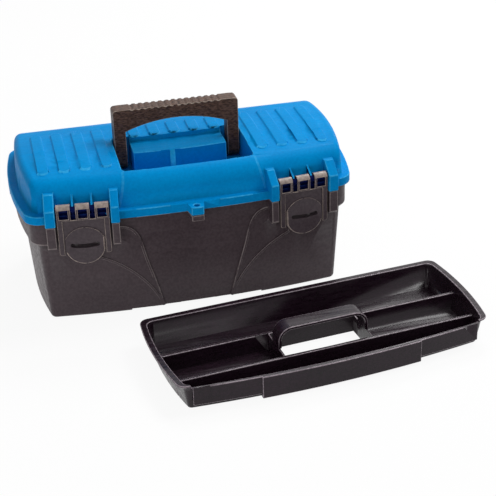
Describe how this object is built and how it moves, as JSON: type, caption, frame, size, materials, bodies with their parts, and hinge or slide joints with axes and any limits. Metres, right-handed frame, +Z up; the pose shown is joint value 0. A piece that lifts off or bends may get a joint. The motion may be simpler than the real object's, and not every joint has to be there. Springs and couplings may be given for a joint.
{
  "type": "toolbox with tray",
  "caption": "Moulded toolbox with a ribbed barrel lid, folding carry handle, snap latches and a lift-out compartment tray beside it.",
  "frame": {"origin": "on the floor under the middle of the box, at the centre of its foot", "axes": "+X along the box to its right, +Y to its back hinges, +Z up"},
  "size_m": [0.4979, 0.4263, 0.2214],
  "materials": {
    "tub_plastic": "fine-textured moulded polypropylene",
    "lid_plastic": "satin moulded polypropylene",
    "handle_plastic": "coarse-textured moulded polypropylene",
    "latch_plastic": "satin moulded polypropylene",
    "tray_plastic": "semi-gloss moulded polypropylene",
    "pin_steel": "drawn steel wire"
  },
  "bodies": {
    "base": {"base_tub": "tub_plastic", "hinge_pin_left": "pin_steel", "hinge_pin_right": "pin_steel"},
    "lid": {"lid": "lid_plastic"},
    "handle": {"carry_handle": "handle_plastic"},
    "latch_left": {"latch_left": "latch_plastic"},
    "latch_right": {"latch_right": "latch_plastic"},
    "tray": {"tote_tray": "tray_plastic"}
  },
  "joints": [
    {"name": "lid_hinge", "type": "hinge", "parent": "base", "child": "lid", "pos_m": [0, 0.113, 0.13], "axis": [-1, 0, 0], "range_deg": [0, 105]},
    {"name": "handle_fold", "type": "hinge", "parent": "lid", "child": "handle", "pos_m": [0, 0.002, 0.1542], "axis": [1, 0, 0], "range_deg": [0, 90]},
    {"name": "latch_left_swing", "type": "hinge", "parent": "lid", "child": "latch_left", "pos_m": [-0.12768, -0.10112, 0.1482], "axis": [-0.9945, 0.1043, 0], "range_deg": [0, 120]},
    {"name": "latch_right_swing", "type": "hinge", "parent": "lid", "child": "latch_right", "pos_m": [0.12768, -0.10112, 0.1482], "axis": [-0.9945, -0.1043, 0], "range_deg": [0, 120]},
    {"name": "tray_lift", "type": "slide", "parent": "base", "child": "tray", "axis": [0, 0, 1], "range_m": [0, 0.15]}
  ]
}
